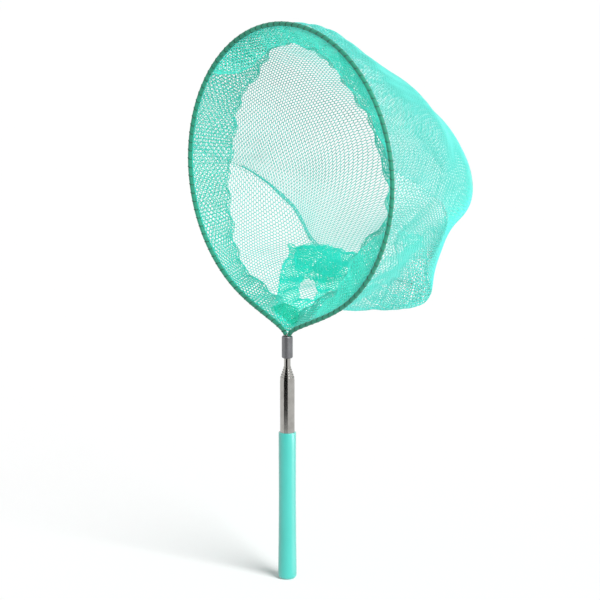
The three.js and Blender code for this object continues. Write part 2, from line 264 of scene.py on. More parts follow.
def add_material(name, group, shades, scale, roughness, relief, **constants):
    """A material from a shared group, in a light and a dark shade, with its relief so many
    metres deep. The constants are set on the shader's own sockets."""
    material = bpy.data.materials.new(name)
    material.use_nodes = True
    tree = material.node_tree
    shader = tree.nodes["Principled BSDF"].inputs
    effect = add_node(tree, "ShaderNodeGroup", {"Color": shades[0], "Dark Color": shades[1],
                      "Scale": scale, "Roughness": roughness}, node_tree=group).outputs
    bump = add_node(tree, "ShaderNodeBump", {"Height": effect["Height"], "Strength": 1.0,
                    "Distance": relief})
    tree.links.new(effect["Color"], shader["Base Color"])
    tree.links.new(effect["Roughness"], shader["Roughness"])
    tree.links.new(bump.outputs[0], shader["Normal"])
    for label, value in constants.items():
        shader[label.replace("_", " ")].default_value = value
    return material


def quarter_round(radius, height, size, start, end):
    """A rounded corner of a profile about (radius, height), between two angles in degrees."""
    angles = np.radians(np.linspace(start, end, ROUND_STEPS + 1))
    return [(radius + size * math.cos(a), height + size * math.sin(a)) for a in angles]


def softened(profile, size):
    """A closed profile with its corners eased by a small curve."""
    count = len(profile)
    eased = []
    for i, corner in enumerate(profile):
        here, before, after = map(np.array, (corner, profile[i - 1], profile[(i + 1) % count]))
        start, end = (here + (other - here) * min(0.4, size / np.linalg.norm(other - here))
                      for other in (before, after))
        for t in np.linspace(0, 1, EASE_STEPS + 1):
            eased.append(tuple((1 - t) ** 2 * start + 2 * t * (1 - t) * here + t * t * end))
    return eased


def turned(profile, lift=0.0):
    """Points and faces of a closed profile of (radius, height) spun about the pole's axis."""
    angles = np.arange(TURNED_SIDES) * 2 * math.pi / TURNED_SIDES
    points, faces, rings = [], [], []
    for radius, height in profile:
        circle = [(radius * math.cos(a), radius * math.sin(a), height + lift) for a in angles]
        if radius == 0.0:
            circle = circle[:1]
        rings.append([len(points) + j % len(circle) for j in range(TURNED_SIDES)])
        points += circle
    for ring, above in zip(rings, rings[1:] + rings[:1]):
        for j in range(TURNED_SIDES):
            k = (j + 1) % TURNED_SIDES
            face = tuple(dict.fromkeys((ring[j], ring[k], above[k], above[j])))
            if len(face) > 2:
                faces.append(face)
    return points, faces


def add_piece(name, points, faces, material, body, slot, nodes):
    """A finished piece from points in millimetres: closed, outward, smooth but for creases."""
    piece = add_object(name, points, [], faces)
    skin = bmesh.new()
    skin.from_mesh(piece.data)
    bmesh.ops.recalc_face_normals(skin, faces=skin.faces)
    for face in skin.faces:
        face.smooth = True
    for edge in skin.edges:
        edge.smooth = edge.calc_face_angle(0.0) < CREASE_ANGLE
    skin.to_mesh(piece.data)
    skin.free()
    piece.data.materials.append(material)
    seat(piece, body, slot, nodes)


def seat(piece, body, slot, nodes=()):
    """Puts a piece on its body and hides the nodes it stands for; the slot of its finish is not used.
    """
    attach(piece, body)
    if nodes:
        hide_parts(*nodes)


grip_plastic = add_material(
    "grip_plastic", moulded, MINT, scale=2600.0, roughness=0.3, relief=0.00003,
    Coat_Weight=0.6, Coat_Roughness=0.28, Sheen_Weight=0.9, Sheen_Roughness=0.35)
grip_bore = TUBE_RADIUS + SEAT_GAP
grip_profile = [
    (0.0, 0.0),
    *quarter_round(GRIP_FOOT_RADIUS - GRIP_FOOT_ROUND, GRIP_FOOT_ROUND, GRIP_FOOT_ROUND, -90, 0),
    (GRIP_FOOT_RADIUS - 0.02, GRIP_LENGTH * 0.06),
    (GRIP_FOOT_RADIUS - 0.1, GRIP_LENGTH * 0.12),
    (GRIP_FOOT_RADIUS - 0.3, GRIP_LENGTH * 0.28),
    (GRIP_WAIST_RADIUS, GRIP_LENGTH * 0.55),
    (GRIP_WAIST_RADIUS + 0.03, GRIP_LENGTH * 0.75),
    (GRIP_TOP_RADIUS, GRIP_LENGTH * 0.9),
    *quarter_round(GRIP_TOP_RADIUS - GRIP_RIM_ROUND, GRIP_LENGTH - GRIP_RIM_ROUND,
                   GRIP_RIM_ROUND, 0, 90),
    (grip_bore, GRIP_LENGTH),
    (grip_bore, GRIP_FOOT_THICKNESS),
    (0.0, GRIP_FOOT_THICKNESS),
]
add_piece("grip", *turned(grip_profile), grip_plastic, "handle", "grip", ["grip_sleeve"])

# The plug in the foot of the outermost tube: grey moulded plastic, pressed in before the grip
# goes on. It is out of sight, so the plain solid stays and only gets its plastic.
GREY_PLASTIC = paint(84, 88, 90), paint(66, 70, 72)
plug_plastic = add_material("plug_plastic", moulded, GREY_PLASTIC, scale=3500.0,
                            roughness=0.6, relief=0.00002)


def refinish(node, material):
    """Gives a solid of the frame a finished material, and leaves its shape alone."""
    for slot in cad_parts[node].material_slots:
        slot.link = "OBJECT"
        slot.material = material


refinish("butt_plug", plug_plastic)

# The pole: six thin steel tubes, each sliding in the next one out. Every mouth but the last is
# swaged in to a short neck that guides the next tube, with its lip rolled over, and every
# inner foot is spread to a lip and a bead that hold its friction bush.
SECTIONS = 6
TUBE_WALL = 0.3
BUSH_THICKNESS = 0.14
BUSH_SLIDE_GAP = 0.05
BUSH_TURN_GAP = 0.06
BUSH_LENGTH = 6.0
BUSH_END_GAP = 0.2
BEAD_LENGTH = 0.8
BEAD_TAPER = 0.4
BEAD_GAP = 0.08
NECK_LENGTH = 1.6
NECK_TAPER = 1.0
NECK_GAP = 0.1
OUTER_TOP = 142.0
TOP_STEP = 1.7
PLUG_LENGTH = 6.0
TUBE_FOOT = GRIP_FOOT_THICKNESS + SEAT_GAP
INNER_FOOT = TUBE_FOOT + PLUG_LENGTH + SEAT_GAP
TIP_SHOWN = 6.1
FERRULE_SOCKET = 6.0
RADIAL_STEP = TUBE_WALL + BUSH_THICKNESS + BUSH_SLIDE_GAP + BUSH_TURN_GAP
STEEL = paint(174, 172, 168), paint(126, 124, 119)
TUBE_EASE = 0.13


def drawn_metal():
    """Drawn metal: hair lines round the part, smears of handling, and a little tarnish."""
    group, given, place = surface_group("drawn_metal")
    squeezed = add_node(group, "ShaderNodeMapping", {"Vector": place, "Scale": (0.02, 0.02, 1.0)})
    lines = noise(group, squeezed, given["Scale"], detail=2.0)
    smear = noise(group, place, scale=160.0, detail=4.0)
    clean = add_node(group, "ShaderNodeMapRange", {"Value": smear, "From Min": 0.45,
                     "From Max": 0.8, "To Min": 1.0, "To Max": 0.5})
    return finish_group(group, given, clean, smear, 0.1, lines)


drawn = drawn_metal()
tube_steel = add_material("tube_steel", drawn, STEEL, scale=9000.0, roughness=0.1,
                          relief=0.000002, Metallic=1.0)


def section(index):
    """Radius, bore, foot and mouth of a tube, counted from 1 at the outside."""
    radius = TUBE_RADIUS - (index - 1) * RADIAL_STEP
    foot = TUBE_FOOT if index == 1 else INNER_FOOT
    return radius, radius - TUBE_WALL, foot, OUTER_TOP + (index - 1) * TOP_STEP


FERRULE_FOOT = section(SECTIONS - 1)[3] + TIP_SHOWN


def foot_profile(index):
    """The spread foot of an inner tube: lip, seat of the bush, bead."""
    radius = section(index)[0]
    if index == 1:
        return [(radius, 0.0)]
    raised = section(index - 1)[1] - BEAD_GAP
    bead = BEAD_LENGTH + BEAD_TAPER + 2 * BUSH_END_GAP + BUSH_LENGTH
    return [(raised, 0.0), (raised, BEAD_LENGTH), (radius, BEAD_LENGTH + BEAD_TAPER),
            (radius, bead), (raised, bead + BEAD_TAPER),
            (raised, bead + BEAD_TAPER + BEAD_LENGTH),
            (radius, bead + 2 * BEAD_TAPER + BEAD_LENGTH)]


def mouth_profile(index):
    """The swaged neck of a tube, or the plain end of the tip that sits in the ferrule."""
    radius, bore, foot, top = section(index)
    if index == SECTIONS:
        tip = FERRULE_FOOT + FERRULE_SOCKET - foot
        return [(radius, tip), (bore, tip)]
    height = top - foot
    neck = section(index + 1)[0] + NECK_GAP
    shoulder = height - NECK_LENGTH
    return [(radius, shoulder - NECK_TAPER), (neck + TUBE_WALL, shoulder),
            (neck + TUBE_WALL, height), (neck, height), (neck, shoulder),
            (bore, shoulder - NECK_TAPER)]


BODY_OF_SECTION = {1: "handle", SECTIONS: "net_head"}
for index in range(1, SECTIONS + 1):
    bore, foot = section(index)[1:3]
    profile = softened([(bore, 0.0), *foot_profile(index), *mouth_profile(index)], TUBE_EASE)
    add_piece(f"steel_tube_{index}", *turned(profile, foot), tube_steel,
              BODY_OF_SECTION.get(index, f"section_{index}"), "steel", [f"pole_tube_{index}"])

# The friction bushes: five thin split rings of spring brass, one on each inner tube between its
# lip and its bead. They are hidden in the pole, so the solids stay and get a worn brass.
BRASS = paint(196, 158, 92), paint(140, 108, 58)
bush_brass = add_material("bush_brass", drawn, BRASS, scale=6000.0, roughness=0.3,
                          relief=0.000006, Metallic=1.0)
for index in range(2, SECTIONS + 1):
    refinish(f"friction_bush_{index}", bush_brass)

# The ferrule: a matt grey plated sleeve pressed on the tip of the pole, its ends chamfered. A
# plastic core in its upper half grips the two ends of the hoop.
FERRULE_RADIUS = 3.75
FERRULE_WALL = 0.5
FERRULE_LENGTH = 15.1
FERRULE_CHAMFER = 0.6
FERRULE_EASE = 0.2
PLATING = paint(126, 126, 129), paint(96, 96, 99)
ferrule_plating = add_material("ferrule_plating", drawn, PLATING, scale=5000.0,
                               roughness=0.36, relief=0.00001, Metallic=0.75)
collar_bore = section(SECTIONS)[0] + SEAT_GAP
ferrule_bore = FERRULE_RADIUS - FERRULE_WALL
ferrule_profile = softened([
    (collar_bore, 0.0), (FERRULE_RADIUS - FERRULE_CHAMFER, 0.0), (FERRULE_RADIUS, FERRULE_CHAMFER),
    (FERRULE_RADIUS, FERRULE_LENGTH - FERRULE_CHAMFER),
    (FERRULE_RADIUS - FERRULE_CHAMFER / 2, FERRULE_LENGTH), (ferrule_bore, FERRULE_LENGTH),
    (ferrule_bore, FERRULE_SOCKET), (collar_bore, FERRULE_SOCKET)], FERRULE_EASE)
add_piece("ferrule_sleeve", *turned(ferrule_profile, FERRULE_FOOT), ferrule_plating,
          "net_head", "ferrule", ["ferrule"])
refinish("ferrule_core", plug_plastic)

# The hoop: one steel wire bent to a circle that draws in to the ferrule, where its two ends
# stand side by side. It shows only at the foot, below the end of the hem.
HOOP_RADIUS = 100.0
HOOP_DRAW_IN = 11.5
FLANK_ANGLE = math.radians(58.6)
FLANK_SHOULDER = 0.45
FLANK_FOOT = 0.12
WIRE_RADIUS = 1.0
WIRE_SPACING = 3.4
WIRE_GRIP = 7.5
WIRE_SIDES = 16
WIRE_STEP = 1.6
WIRE_STEEL = paint(176, 174, 170), paint(120, 118, 114)
HOOP_CENTRE = FERRULE_FOOT + FERRULE_LENGTH + HOOP_RADIUS + HOOP_DRAW_IN


def length_along(points):
    """The running length of a line of points."""
    steps = np.linalg.norm(np.diff(points, axis=0), axis=1)
    return np.concatenate([[0.0], np.cumsum(steps)])


arc_end = math.pi / 2 + FLANK_ANGLE
arc_angles = np.linspace(0, arc_end, 500)
arc_line = np.stack([HOOP_RADIUS * np.sin(arc_angles), HOOP_RADIUS * np.cos(arc_angles)], axis=1)
flank_top = arc_line[-1]
flank_end = np.array([WIRE_SPACING / 2, -(HOOP_RADIUS + HOOP_DRAW_IN)])
flank_span = np.linalg.norm(flank_end - flank_top)
flank_way = np.array([math.cos(arc_end), -math.sin(arc_end)])
flank_shoulder = flank_top + flank_way * FLANK_SHOULDER * flank_span
flank_foot = flank_end + np.array([0.0, FLANK_FOOT * flank_span])
bend = np.linspace(0, 1, 240)[1:, None]
flank_line = ((1 - bend) ** 3 * flank_top + 3 * (1 - bend) ** 2 * bend * flank_shoulder
              + 3 * (1 - bend) * bend ** 2 * flank_foot + bend ** 3 * flank_end)
shank_end = flank_end - np.array([0.0, 2 * WIRE_GRIP])
half_line = np.vstack([arc_line, flank_line, shank_end])
half_run = length_along(half_line)
half_length = half_run[-2]


def half_hoop(distance):
    """Across and up from the hoop's centre, at a distance along the wire from its top."""
    return [np.interp(distance, half_run, half_line[:, axis]) for axis in (0, 1)]


def hoop_line(along):
    """Points of the hoop's centre line, from one end of the wire to the other."""
    across, up = half_hoop(np.abs(along))
    return np.stack([np.sign(along) * across, np.zeros_like(across), up + HOOP_CENTRE], axis=1)


def hoop_tube(reach, radius, sides, spacing):
    """A closed tube round the hoop's line; radius may change along it."""
    along = np.linspace(-reach, reach, int(2 * reach / spacing) + 1)
    centre = hoop_line(along)
    tangent = hoop_line(along + 0.05) - hoop_line(along - 0.05)
    tangent /= np.linalg.norm(tangent, axis=1)[:, None]
    across = np.cross((0.0, 1.0, 0.0), tangent)
    size = radius(along) if callable(radius) else np.full(len(along), radius)
    turn = np.arange(sides) * 2 * math.pi / sides
    rings = (centre[:, None] + size[:, None, None] * (np.cos(turn)[None, :, None] * across[:, None]
             + np.sin(turn)[None, :, None] * np.array([0.0, 1.0, 0.0])))
    points = [tuple(p) for p in rings.reshape(-1, 3)]
    last = len(points) - sides
    faces = []
    for near in range(0, last, sides):
        far = near + sides
        for j in range(sides):
            k = (j + 1) % sides
            faces.append((near + j, near + k, far + k, far + j))
    return points, [*faces, tuple(range(sides)), tuple(range(last, last + sides))]


wire_steel = add_material("wire_steel", drawn, WIRE_STEEL, scale=4000.0, roughness=0.25,
                          relief=0.000005, Metallic=1.0)
add_piece("wire_hoop", *hoop_tube(half_length + WIRE_GRIP, WIRE_RADIUS, WIRE_SIDES, WIRE_STEP),
          wire_steel, "net_head", "wire", ["hoop_wire"])

# The hem: the edge of the netting rolled round the wire and whipped with a darker thread. The
# roll is several layers of net pressed together, pinched in a little at every stitch.
HEM_RADIUS = 1.7
HEM_ROLL_RADIUS = 1.45
SOFT_GAP = 0.3
STITCH_PITCH = 6.0
STITCH_TILT = math.radians(30)
STITCH_THREAD = 0.42
STITCH_PINCH = 0.12
STITCH_SINK = 0.05
STITCH_MARGIN = 2.0
STITCH_POINTS = 600
HEM_PINCH_LENGTH = 12.0
HEM_FOOT_RADIUS = 1.3
HEM_END_GAP = 0.6
HEM_SIDES = 20
HEM_STEP = 0.55
# The roll's colour: the net's yarn painted darker, painted shade for the rolled layers pressed
# together.
HEM_GREEN_PAINTED_SHADE = paint(32, 162, 130), paint(16, 122, 96)
THREAD_GREEN = paint(14, 104, 80), paint(8, 76, 58)


def spun_thread():
    """Spun thread and pressed net: short fibres in relief, with painted highlight on them and painted
    shade in the hollows.
    """
    group, given, place = surface_group("spun_thread")
    fibre = noise(group, place, given["Scale"], detail=3.0, distortion=1.5)
    patch = noise(group, place, scale=30.0, detail=2.0)
    blend = add_node(group, "ShaderNodeMath", {0: fibre, 1: 0.65, 2: patch}, operation="MULTIPLY_ADD")
    # The mix follows the fibres' relief: painted highlight where they stand up and painted shade in
    # the hollows, with random patches of tone.
    light = add_node(group, "ShaderNodeMapRange", {"Value": blend, "From Min": 0.5,
                     "From Max": 1.15})
    return finish_group(group, given, light, fibre, 0.2, fibre)


spun = spun_thread()
hem_net_painted_shade = add_material("hem_net_painted_shade", spun, HEM_GREEN_PAINTED_SHADE, scale=1500.0, roughness=0.55,
                       relief=0.00008, Sheen_Weight=0.2)
whip_thread = add_material("whip_thread", spun, THREAD_GREEN, scale=5000.0, roughness=0.6,
                           relief=0.00003, Sheen_Weight=0.2)

back_off = 0.0
while half_hoop(half_length - back_off)[0] < HEM_RADIUS + SOFT_GAP:
    back_off += 0.5
mouth_length = half_length - back_off


def hem_size(along):
    """Radius of the hem: full between stitches, pinched in under each and near the foot."""
    place = np.abs((along / STITCH_PITCH) % 1.0 - 0.5) * 2
    near_foot = np.clip(1 - (half_length - np.abs(along)) / HEM_PINCH_LENGTH, 0, 1)
    size = HEM_ROLL_RADIUS - (HEM_ROLL_RADIUS - HEM_FOOT_RADIUS) * near_foot ** 2
    return size - STITCH_PINCH * place ** 4


add_piece("hem_roll", *hoop_tube(half_length - HEM_END_GAP, hem_size, HEM_SIDES, HEM_STEP),
          hem_net_painted_shade, "net_head", "hem", ["net_hem"])


def new_tree(name, numbers):
    """A geometry tree with geometry in and out, the numbers it takes and a material."""
    tree = bpy.data.node_groups.new(name, "GeometryNodeTree")
    tree.interface.new_socket("Geometry", in_out="INPUT", socket_type="NodeSocketGeometry")
    for label in numbers:
        tree.interface.new_socket(label, in_out="INPUT", socket_type=FLOAT)
    tree.interface.new_socket("Material", in_out="INPUT", socket_type="NodeSocketMaterial")
    tree.interface.new_socket("Geometry", in_out="OUTPUT", socket_type="NodeSocketGeometry")
    return tree, tree.nodes.new("NodeGroupInput").outputs


def finish_tree(tree, geometry, given):
    """Every tree ends alike: real geometry, smooth faces and the piece's own material."""
    real = add_node(tree, "GeometryNodeRealizeInstances", {"Geometry": geometry})
    smooth = add_node(tree, "GeometryNodeSetShadeSmooth", {"Geometry": real})
    dressed = add_node(tree, "GeometryNodeSetMaterial", {"Geometry": smooth,
                       "Material": given["Material"]})
    add_node(tree, "NodeGroupOutput", {"Geometry": dressed})
    return tree


def grown(name, points, edges, faces, tree, values):
    """Runs a geometry tree on a base mesh in millimetres, and returns the plain mesh object."""
    piece = add_object(name, points, edges, faces)
    base = piece.data
    modifier = piece.modifiers.new("grow", "NODES")
    modifier.node_group = tree
    for item in tree.interface.items_tree:
        if item.name in values:
            modifier[item.identifier] = values[item.name]
    evaluated = piece.evaluated_get(bpy.context.evaluated_depsgraph_get())
    piece.data = bpy.data.meshes.new_from_object(evaluated)
    piece.modifiers.clear()
    bpy.data.meshes.remove(base)
    piece.data.name = name
    return piece


def whip_stitches():
    """Rings of thread, evenly spaced along a line and all leaning the same way."""
    tree, given = new_tree("whip_stitches", ["Pitch", "Ring Radius", "Thread Radius", "Tilt"])
    line = add_node(tree, "GeometryNodeMeshToCurve", {"Mesh": given["Geometry"]})
    spots = add_node(tree, "GeometryNodeCurveToPoints", {"Curve": line,
                     "Length": given["Pitch"]}, mode="LENGTH")
    ring = add_node(tree, "GeometryNodeCurvePrimitiveCircle", {"Resolution": 20,
                    "Radius": given["Ring Radius"]})
    thread = add_node(tree, "GeometryNodeCurvePrimitiveCircle", {"Resolution": 6,
                      "Radius": given["Thread Radius"]})
    loop = add_node(tree, "GeometryNodeCurveToMesh", {"Curve": ring,
                    "Profile Curve": thread})
    placed = add_node(tree, "GeometryNodeInstanceOnPoints", {"Points": spots.outputs["Points"],
                      "Instance": loop, "Rotation": spots.outputs["Rotation"]})
    lean = add_node(tree, "ShaderNodeCombineXYZ", {"X": given["Tilt"]})
    leaning = add_node(tree, "GeometryNodeRotateInstances", {"Instances": placed,
                       "Rotation": lean})
    return finish_tree(tree, leaning, given)


stitch_reach = mouth_length - STITCH_MARGIN
stitch_line = hoop_line(np.linspace(-stitch_reach, stitch_reach, STITCH_POINTS))
stitch_links = [(i, i + 1) for i in range(STITCH_POINTS - 1)]
stitches = grown("hem_stitches", stitch_line, stitch_links, [], whip_stitches(), {
    "Pitch": STITCH_PITCH * MM, "Ring Radius": (HEM_ROLL_RADIUS - STITCH_SINK) * MM,
    "Thread Radius": STITCH_THREAD * MM, "Tilt": STITCH_TILT, "Material": whip_thread})
seat(stitches, "net_head", "hem")

# The bag: knitted polyester net with six-sided meshes, sewn from two panels into a deep pouch
# and gathered to the hem. Its shape is a set of rounded arches from the hem to the deepest
# point, with a crease across the back and a sagging lobe under it.
BAG_DEPTH = 147.0
DEEPEST_DROP = 12.0
FULLNESS, FULLER_BELOW, FLATTER_KEEL = 1.95, 0.63, 0.69
CROWN_LIFT, CROWN_REACH, CROWN_LENGTH = 13.5, 10.0, 13.0
CREASE_DEPTH, CREASE_DROP, CREASE_WIDTH = 43.0, 56.5, 17.6
POUCH_SAG, POUCH_REACH, POUCH_LENGTH = 32.5, 64.5, 12.0
POUCH_SIDE, POUCH_SHIFT = 8.0, 26.5
TIGHT_LIFT, TIGHT_REACH, TIGHT_LENGTH = 34.0, 15.5, 38.5
MOUTH_START = HEM_RADIUS + SOFT_GAP
HEM_TUCK = 1.0
PANEL_SPLIT = 0.032
CHART_POINTS = 2000
PATH_POINTS = 400
MESH_PITCH = 2.6
MESH_ROW = 2.45
STRAND_RADIUS = 0.26
# NET_MINT is the yarn of the single-layer panels. The four colours under it are the same yarn,
# painted deeper, darker or lighter to stand in for light and shade.
NET_MINT = paint(98, 233, 220), paint(82, 221, 206)
# The gathered net's colour: painted deeper, standing in for the light that soaks through its many
# layers.
GATHER_MINT_PAINTED_DEEP = paint(24, 226, 206), paint(14, 211, 187)
# The gathered foot's colour: painted darker and deeper still, painted shade low in the folds.
FOOT_MINT_PAINTED_SHADE = paint(8, 196, 166), paint(6, 180, 148)
# The turned-in edge's colour: painted darker, painted shade on the flap, whose left side lies in
# shade.
EDGE_MINT_PAINTED_SHADE = paint(56, 218, 198), paint(40, 202, 180)
# The bunched edge's colour: painted lighter, painted light that lifts the shade on the top and down
# the right of the flap.
BUNCH_MINT_PAINTED_LIGHT = paint(66, 244, 222), paint(50, 230, 206)


def swell(value, centre, width):
    """A soft hump of height one."""
    return np.exp(-(((value - centre) / width) ** 2))


def smooth_step(value):
    """A soft rise from 0 to 1."""
    held = np.clip(value, 0.0, 1.0)
    return held * held * (3 - 2 * held)


def rim_vector(around):
    """The mouth seen from the deepest point: across and up, at a share of the way round."""
    side = np.where(around <= 0.5, 1.0, -1.0)
    distance = mouth_length * np.where(around <= 0.5, 2 * around, 2 - 2 * around)
    across, up = half_hoop(distance)
    return side * across, up + DEEPEST_DROP


def bag_point(around, back):
    """The bag's surface: round the mouth from its top, and from the hem to the deepest point."""
    across, rise = rim_vector(around)
    upward = rise / np.hypot(across, rise)
    fullness = FULLNESS - FULLER_BELOW * upward - FLATTER_KEEL * np.maximum(0.0, -upward) ** 2
    turn = back * math.pi / 2
    inward = np.maximum(0.0, np.cos(turn)) ** (2 / fullness)
    loose = np.sin(turn)
    x = across * inward
    y = BAG_DEPTH * loose ** (2 / fullness)
    z = rise * inward - DEEPEST_DROP
    right_side = 0.5 + 0.5 * np.tanh(x / 30 + 0.6)
    y = y - CREASE_DEPTH * loose * right_side * swell(z, -CREASE_DROP, CREASE_WIDTH)
    high = loose * smooth_step(2 * upward - 0.6)
    z = z + high * CROWN_LIFT * swell(y, CROWN_REACH, CROWN_LENGTH)
    low = loose * smooth_step(-1.6 * upward - 0.3)
    z = z + low * TIGHT_LIFT * swell(y, TIGHT_REACH, TIGHT_LENGTH)
    pouch_side = 0.5 + 0.5 * np.tanh((x - POUCH_SIDE) / POUCH_LENGTH)
    z = z - low * POUCH_SAG * pouch_side * swell(y, POUCH_REACH, POUCH_LENGTH)
    x = x + low * POUCH_SHIFT * swell(y, POUCH_REACH, 1.5 * POUCH_LENGTH)
    return np.stack([x, y + MOUTH_START, z + HOOP_CENTRE], axis=-1)


def bag_outward(around, back):
    """The way out of the bag, square to its surface."""
    small = 0.002
    near = np.minimum(back, 1 - 2 * small)
    here = bag_point(around, near)
    onward = bag_point((around + small) % 1.0, near) - here
    inward = bag_point(around, near + small) - here
    way = np.cross(onward, inward)
    return way / np.maximum(np.linalg.norm(way, axis=-1, keepdims=True), 1e-9)


def creases(point, back):
    """Small folds of the net: gathers near the hem, and slack ripples further back. Their
    lengths, in millimetres, are set so that no two run alike."""
    x, y, z = point[..., 0], point[..., 1], point[..., 2] - HOOP_CENTRE
    round_hoop = np.arctan2(x, z)
    gathers = np.sin(46 * round_hoop + 1.7 * np.sin(7 * round_hoop)) * np.exp(-back / 0.16)
    ripples = (np.sin(x / 9 + 2.0 * np.sin(z / 27)) * np.sin(z / 13 + y / 31)
               + 0.7 * np.sin(y / 8 + 1.4 * np.sin(z / 19 + x / 37)))
    slack = 0.8 + 1.3 * smooth_step((-55 - z) / 25)
    return 0.9 * gathers * smooth_step(back / 0.03) + slack * ripples * smooth_step(back / 0.25)


def bag_surface(around, back, offset=0.0):
    """The creased bag, or a layer at an offset outside it."""
    point = bag_point(around, back)
    height = offset + creases(point, back)
    return point + bag_outward(around, back) * height[..., None]


chart_around = np.linspace(0.0, 1.0, CHART_POINTS, endpoint=False)
chart_across, chart_rise = rim_vector(chart_around)
chart_angle = np.unwrap(np.arctan2(chart_across, chart_rise))
chart_size = np.hypot(chart_across, chart_rise)


def from_chart(x, z):
    """Around and back for a point of the flat chart, where the mouth's outline is the edge."""
    angle = np.arctan2(x, z + DEEPEST_DROP) % (2 * math.pi)
    around = np.interp(angle, chart_angle, chart_around)
    back = 1 - np.hypot(x, z + DEEPEST_DROP) / np.interp(angle, chart_angle, chart_size)
    return around, np.clip(back, 0.0, 0.999)


def to_chart(around, back):
    """The place in the flat chart of a point of the bag."""
    across, rise = rim_vector(around)
    return across * (1 - back), rise * (1 - back) - DEEPEST_DROP


def even_along(path, count):
    """Points evenly spaced along a path in the chart, measured on the bag itself."""
    fine = np.linspace(0, 1, 1200)
    knots = np.linspace(0, 1, len(path))
    x, z = (np.interp(fine, knots, path[:, axis]) for axis in (0, 1))
    run = length_along(bag_point(*from_chart(x, z)))
    places = np.linspace(0, run[-1], count)
    return np.stack([np.interp(places, run, x), np.interp(places, run, z)], axis=1), run[-1]


def through(knots):
    """A smooth path through knots."""
    knots = np.array(knots, float)
    ends = np.vstack([2 * knots[0] - knots[1], knots, 2 * knots[-1] - knots[-2]])
    places = np.linspace(0, len(knots) - 1, PATH_POINTS)
    index = np.minimum(places.astype(int), len(knots) - 2)
    t = (places - index)[:, None]
    a, b, c, d = (ends[index + i] for i in range(4))
    return 0.5 * (2 * b + (c - a) * t + (2 * a - 5 * b + 4 * c - d) * t ** 2
                  + (3 * b - a - 3 * c + d) * t ** 3)


def laced(columns):
    """Points, and triangles between neighbouring columns: lines of points and their places."""
    lines, places = zip(*columns)
    faces, start = [], 0
    for left, right in zip(places, places[1:]):
        end = start + len(left)
        i = j = 0
        while i < len(left) - 1 or j < len(right) - 1:
            next_left = left[i + 1] if i < len(left) - 1 else math.inf
            next_right = right[j + 1] if j < len(right) - 1 else math.inf
            if next_left <= next_right:
                faces.append((start + i, end + j, start + i + 1))
                i += 1
            else:
                faces.append((start + i, end + j, end + j + 1))
                j += 1
        start = end
    return np.vstack(lines), faces


# The seam between the two panels, in the chart: it starts at the left of the mouth, drops to
# the lower back of the bag and climbs to the right of the mouth.
SEAM_KNOTS = [(-99, 8), (-90, -1), (-80, -10), (-72, -19), (-65, -28), (-59, -36), (-54, -44),
              (-48, -52), (-37, -60), (-22, -63), (-4, -64), (14, -63), (32, -57), (48, -47),
              (62, -33), (76, -16), (88, -2), (99, 12)]
seam_path = through(SEAM_KNOTS)


def rim_path(start, end):
    """The mouth's outline in the chart, from one share of the way round to another."""
    across, rise = rim_vector(np.linspace(start, end, PATH_POINTS) % 1.0)
    return np.stack([across, rise - DEEPEST_DROP], axis=1)


def panel_lattice(rim, seam):
    """Triangles that join the middles of the meshes of a panel, column by column. The columns
    run from the hem to the seam, and the meshes of every other column are half a row on."""
    length = max(even_along(rim, 2)[1], even_along(seam, 2)[1])
    count = int(length / MESH_PITCH) + 1
    starts, ends = even_along(rim, count)[0], even_along(seam, count)[0]
    share = np.linspace(0, 1, PATH_POINTS)
    columns = []
    for i in range(count):
        way = ends[i] - starts[i]
        run = length_along(bag_point(*from_chart(*(starts[i] + way * share[:, None]).T)))
        rows = np.arange(MESH_ROW * (0.5 if i % 2 else 1.0), run[-1] - 0.35 * MESH_ROW, MESH_ROW)
        places = np.unique([0.0, *rows, run[-1]])
        at = np.interp(places, run, share)
        line = bag_surface(*from_chart(*(starts[i] + way * at[:, None]).T))
        line[0, 1] -= HEM_TUCK
        columns.append((line, places))
    return laced(columns)


def knitted_net():
    """Turns a sheet of triangles into net: a mesh of strands round the middle of each corner.
    Only strands whose middle lies between the two sides given are kept, so that a wide panel
    can be made as several pieces."""
    tree, given = new_tree("knitted_net", ["Strand Radius", "Left Side", "Right Side"])
    meshes = add_node(tree, "GeometryNodeDualMesh", {"Mesh": given["Geometry"],
                      "Keep Boundaries": True})
    lines = add_node(tree, "GeometryNodeMeshToCurve", {"Mesh": meshes})
    place = add_node(tree, "GeometryNodeInputPosition")
    across = add_node(tree, "ShaderNodeSeparateXYZ", {0: place})
    after, before = (
        add_node(tree, "FunctionNodeCompare", {0: across, 1: given[side]}, operation=test)
        for side, test in (("Left Side", "GREATER_EQUAL"), ("Right Side", "LESS_THAN")))
    between = add_node(tree, "FunctionNodeBooleanMath", {0: after,
                       1: before}, operation="AND")
    kept = add_node(tree, "GeometryNodeSeparateGeometry", {"Geometry": lines,
                    "Selection": between}, domain="CURVE")
    strand = add_node(tree, "GeometryNodeCurvePrimitiveCircle", {"Resolution": 4,
                      "Radius": given["Strand Radius"]})
    strands = add_node(tree, "GeometryNodeCurveToMesh", {"Curve": kept.outputs["Selection"],
                       "Profile Curve": strand, "Fill Caps": True})
    return finish_tree(tree, strands, given)


knitting = knitted_net()


def yarn(name, shades, sheen=0.3):
    """Polyester yarn, which lets some light through to its far side."""
    return add_material(name, spun, shades, scale=4000.0, roughness=0.5, relief=0.00002,
                        Sheen_Weight=sheen, Subsurface_Weight=0.6,
                        Subsurface_Radius=(1.0, 1.0, 1.0), Subsurface_Scale=0.0006)


net_yarn = yarn("net_yarn", NET_MINT)
